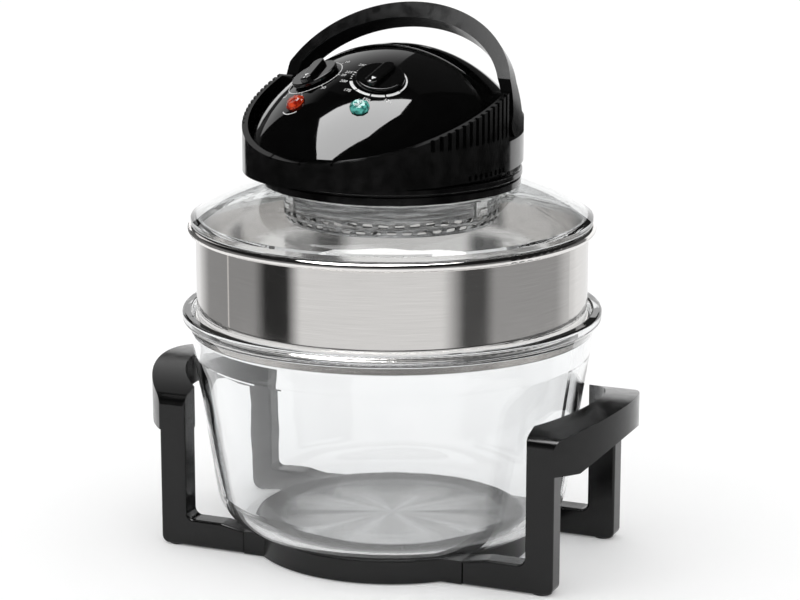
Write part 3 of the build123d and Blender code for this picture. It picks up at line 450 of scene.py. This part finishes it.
for text, angle in TEMPERATURE_NUMBERS.items():
    name = f"temperature_number_{text}"
    radius = TEMPERATURE_RING + TEMPERATURE_NUMBERS_OUT
    printed.append(printed_number(name, temperature_print, text, radius, angle))
for piece in printed:
    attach(piece, "lid")

ARROW = [(-1.9 * MM, -8.6 * MM), (0.0, -12.2 * MM), (1.9 * MM, -8.6 * MM)]
DOT_RADIUS = 0.9 * MM
DOT_DOWN = -14.6 * MM
DOT = [
    (DOT_RADIUS * cos(a * pi / 8), DOT_DOWN + DOT_RADIUS * sin(a * pi / 8)) for a in range(16)
]
for body, place in (("timer_dial", timer), ("temperature_dial", temperature)):
    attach(knob_mark(body + "_arrow", place, ARROW, KNOB_TOP), body)
    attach(knob_mark(body + "_dot", place, DOT, KNOB_TOP), body)


# ---- rounded lip where the front panel ends under the rear cover
LIP_RADIUS = 0.55 * MM
LIP_SIDES = 10
LIP_STEPS = 48
PANEL_END_Y = 2.0 * MM


def lip(name, path, look):
    """A thin round bead along a path."""
    points, faces = [], []
    for index, centre in enumerate(path):
        along = (path[min(index + 1, len(path) - 1)] - path[max(index - 1, 0)]).normalized()
        across = along.cross(Vector((0, 0, 1))).normalized()
        up = across.cross(along)
        for side in range(LIP_SIDES):
            angle = 2 * pi * side / LIP_SIDES
            points.append(centre + (across * cos(angle) + up * sin(angle)) * LIP_RADIUS)
    for start in range(0, (len(path) - 1) * LIP_SIDES, LIP_SIDES):
        after = start + LIP_SIDES
        for side in range(LIP_SIDES):
            next_side = (side + 1) % LIP_SIDES
            faces.append((start + side, start + next_side, after + next_side, after + side))
    last = (len(path) - 1) * LIP_SIDES
    faces += [tuple(range(LIP_SIDES))[::-1], tuple(range(last, last + LIP_SIDES))]
    return new_piece(name, points, faces, look, smooth=True)


rear_lip = []
for step in range(LIP_STEPS + 1):
    x = DOME_RADII.x * cos(radians(40 + step * 100 / LIP_STEPS))
    rear_lip.append(Vector((x, PANEL_END_Y, dome_height(x, PANEL_END_Y))))
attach(lip("panel_rear_lip", rear_lip, "black_gloss"), "lid")


# ---- filament
def filament():
    """A fine coil of wire that runs round inside the quartz tube."""
    low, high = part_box("halogen_tube")
    height = (low.z + high.z) / 2
    sweep, gap = radians(292), radians(34)
    turns, per_turn, coil = 190, 7, 1.3 * MM
    curve = bpy.data.curves.new("filament", "CURVE")
    curve.dimensions = "3D"
    curve.bevel_depth = 0.16 * MM
    curve.bevel_resolution = 1
    line = curve.splines.new("POLY")
    line.points.add(turns * per_turn)
    for index, point in enumerate(line.points):
        share = index / (turns * per_turn)
        round_ring = pi / 2 + gap + sweep * share
        round_coil = 2 * pi * index / per_turn
        radius = TUBE_RING_RADIUS + coil * cos(round_coil)
        rise = height + coil * sin(round_coil)
        point.co = (radius * cos(round_ring), radius * sin(round_ring), rise, 1)
    source = bpy.data.objects.new("filament_line", curve)
    mesh = bpy.data.meshes.new_from_object(source)
    bpy.data.objects.remove(source)
    mesh.materials.clear()
    mesh.materials.append(LOOKS["inner_steel"])
    piece = bpy.data.objects.new("filament", mesh)
    bpy.context.scene.collection.objects.link(piece)
    return piece


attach(filament(), "lid")


# ---- stage: floor, lights and what the glossy faces reflect
def stage_mesh(name, points, faces, material):
    mesh = bpy.data.meshes.new(name)
    mesh.from_pydata([tuple(p) for p in points], [], faces)
    mesh.update()
    mesh.materials.append(material)
    made = bpy.data.objects.new(name, mesh)
    bpy.context.scene.collection.objects.link(made)
    return made


def floor_paper():
    paper = Surface("floor_paper", 0.9, Specular_IOR_Level=0.1, Emission_Strength=0.13)
    paper.shader.inputs["Emission Color"].default_value = (1, 1, 1, 1)
    paper.colours(paper.noise(0.3), (0.3, grey(0.89)), (0.7, grey(0.91)))
    return paper.material


def glow(name, strength):
    """White light of an even strength."""
    material = bpy.data.materials.new(name)
    material.use_nodes = True
    tree = material.node_tree
    tree.nodes.clear()
    shader = tree.nodes.new("ShaderNodeEmission")
    shader.inputs["Color"].default_value = (1, 1, 1, 1)
    shader.inputs["Strength"].default_value = strength
    output = tree.nodes.new("ShaderNodeOutputMaterial")
    tree.links.new(shader.outputs[0], output.inputs["Surface"])
    return material


def only_reflected(made):
    """A studio card that stands out of the picture: it shows in reflections alone."""
    made.visible_camera = False
    made.visible_diffuse = False
    made.visible_transmission = False
    made.visible_volume_scatter = False
    made.visible_shadow = False
    return made


def square(half, z):
    return [(-half, -half, z), (half, -half, z), (half, half, z), (-half, half, z)]


stage_mesh("floor", square(20.0, 0), [(0, 1, 2, 3)], floor_paper())

# Plain cards that stand low round the set, for the steel ring to mirror: the angles from -Y where
# each starts and ends, and its brightness. The gaps between them are their soft edges.
CARDS = [
    (-180, -115, 0.9),
    (-95, -50, 0.3),
    (-42, -28, 0.03),
    (-20, 55, 0.8),
    (67, 78, 0.08),
    (85, 130, 0.35),
    (155, 180, 0.9),
]
LOW_WALL_RADIUS = 0.8
LOW_WALL_TOP = 0.14


def surroundings():
    """One glowing wall that holds all the low cards."""
    material = glow("surroundings", 1.0)
    tree = material.node_tree
    place = tree.nodes.new("ShaderNodeNewGeometry")
    split = tree.nodes.new("ShaderNodeSeparateXYZ")
    back = tree.nodes.new("ShaderNodeMath")
    back.operation = "MULTIPLY"
    back.inputs[1].default_value = -1.0
    angle = tree.nodes.new("ShaderNodeMath")
    angle.operation = "ARCTAN2"
    share = tree.nodes.new("ShaderNodeMapRange")
    share.inputs["From Min"].default_value = -pi
    share.inputs["From Max"].default_value = pi
    ramp = tree.nodes.new("ShaderNodeValToRGB")
    elements = ramp.color_ramp.elements
    for degrees, level in [(side, card[2]) for card in CARDS for side in card[:2]]:
        if degrees == -180:
            element = elements[0]
        elif degrees == 180:
            element = elements[-1]
        else:
            element = elements.new((degrees + 180) / 360)
        element.color = (*grey(level), 1)
    tree.links.new(place.outputs["Position"], split.inputs[0])
    tree.links.new(split.outputs["Y"], back.inputs[0])
    tree.links.new(split.outputs["X"], angle.inputs[0])
    tree.links.new(back.outputs[0], angle.inputs[1])
    tree.links.new(angle.outputs[0], share.inputs["Value"])
    tree.links.new(share.outputs["Result"], ramp.inputs["Fac"])
    tree.links.new(ramp.outputs["Color"], tree.nodes["Emission"].inputs["Color"])
    return material


def wall(name, start, end, low, high, radius, material, through_glass=False):
    """A curved card round the oven. Angles are in degrees from -Y, growing towards +X."""
    count = max(1, ceil((end - start) / 4))
    points = []
    for index in range(count + 1):
        angle = radians(start + (end - start) * index / count)
        for z in (low, high):
            points.append((radius * sin(angle), -radius * cos(angle), z))
    faces = [(2 * i, 2 * i + 2, 2 * i + 3, 2 * i + 1) for i in range(count)]
    made = only_reflected(stage_mesh(name, points, faces, material))
    made.visible_transmission = through_glass
    return made


low_look = surroundings()
wall("low_wall_front", -105, 105, 0.0, LOW_WALL_TOP, LOW_WALL_RADIUS, low_look, through_glass=True)
wall("low_wall_rear", 105, 255, 0.0, LOW_WALL_TOP, LOW_WALL_RADIUS, low_look)


def fading_glow(name, low, high, low_level, high_level):
    """A light whose brightness runs from one level at the height low to another at high."""
    material = glow(name, 1.0)
    tree = material.node_tree
    place = tree.nodes.new("ShaderNodeNewGeometry")
    split = tree.nodes.new("ShaderNodeSeparateXYZ")
    share = tree.nodes.new("ShaderNodeMapRange")
    for socket, number in zip(list(share.inputs)[1:5], (low, high, low_level, high_level)):
        socket.default_value = number
    tree.links.new(place.outputs["Position"], split.inputs[0])
    tree.links.new(split.outputs["Z"], share.inputs["Value"])
    tree.links.new(share.outputs["Result"], tree.nodes["Emission"].inputs["Strength"])
    return material


# The room higher up: dark round the oven and overhead, a white sweep low behind and a soft
# light at the left. Each: name, start and end angle, low and high edge, brightness at each edge.
WALL_RADIUS = 1.4
ROOM = [
    ("room_low", -120, 160, 0.0, 0.12, 0.012, 0.012),
    ("room_middle", -120, 160, 0.12, 0.75, 0.26, 0.06),
    ("room_front", -120, 160, 0.75, 3.0, 0.012, 0.012),
    ("sweep", 160, 240, 0.14, 0.55, 1.2, 1.2),
    ("room_rear", 160, 240, 0.55, 3.0, 0.05, 0.05),
]
for name, start, end, low, high, low_level, high_level in ROOM:
    look = fading_glow(name, low, high, low_level, high_level)
    wall(name, start, end, low, high, WALL_RADIUS, look)
soft_left_look = fading_glow("soft_left", 0.8, 1.9, 0.85, 0.05)
wall("soft_left", -158, -108, 0.7, 2.0, WALL_RADIUS - 0.02, soft_left_look)
ceiling_look = glow("room_ceiling", 0.02)
only_reflected(stage_mesh("room_ceiling", square(1.5, 3.0), [(0, 1, 2, 3)], ceiling_look))

# The overhead soft box whose edges the front panel mirrors.
SOFT_BOX_HEIGHT = 1.86
SOFT_BOX_STRENGTH = 11.5
SOFT_BOX = [
    (-0.84, -0.13), (-0.54, -1.30), (-0.16, -1.31), (-0.01, -1.09), (0.36, -0.44),
    (0.45, 0.19), (0.32, 0.55), (-0.01, 0.27), (-0.45, 0.15),
]
corners = [(x, y, SOFT_BOX_HEIGHT) for x, y in SOFT_BOX]
soft_box_look = glow("soft_box", SOFT_BOX_STRENGTH)
only_reflected(stage_mesh("soft_box", corners, [tuple(range(len(corners)))], soft_box_look))

world = bpy.data.worlds.new("studio")
bpy.context.scene.world = world
world.use_nodes = True
world.node_tree.nodes["Background"].inputs["Color"].default_value = (1, 1, 1, 1)
world.node_tree.nodes["Background"].inputs["Strength"].default_value = 1.0


LAMP_TARGET = Vector((0, 0, 0.2))


def area_light(name, place, size, power):
    """A soft lamp that faces the oven."""
    lamp = bpy.data.lights.new(name, "AREA")
    lamp.size = size
    lamp.energy = power
    made = bpy.data.objects.new(name, lamp)
    made.location = place
    made.rotation_euler = (LAMP_TARGET - Vector(place)).to_track_quat("-Z", "Y").to_euler()
    made.visible_camera = False
    made.visible_glossy = False
    bpy.context.scene.collection.objects.link(made)


area_light("key", (-0.9, -1.0, 1.7), 1.2, 2.5)
area_light("fill", (1.3, -0.4, 1.3), 1.0, 1.0)

camera = bpy.data.cameras.new("camera")
camera.lens = CAMERA_LENS
camera.sensor_width = 36.0
camera.shift_x = CAMERA_SHIFT
camera.clip_end = 100.0
viewer = bpy.data.objects.new("camera", camera)
viewer.location = CAMERA_PLACE
viewer.rotation_euler = Euler((radians(90 - CAMERA_PITCH), 0, radians(CAMERA_YAW)))
bpy.context.scene.collection.objects.link(viewer)
bpy.context.scene.camera = viewer
bpy.context.scene.view_settings.view_transform = "Standard"
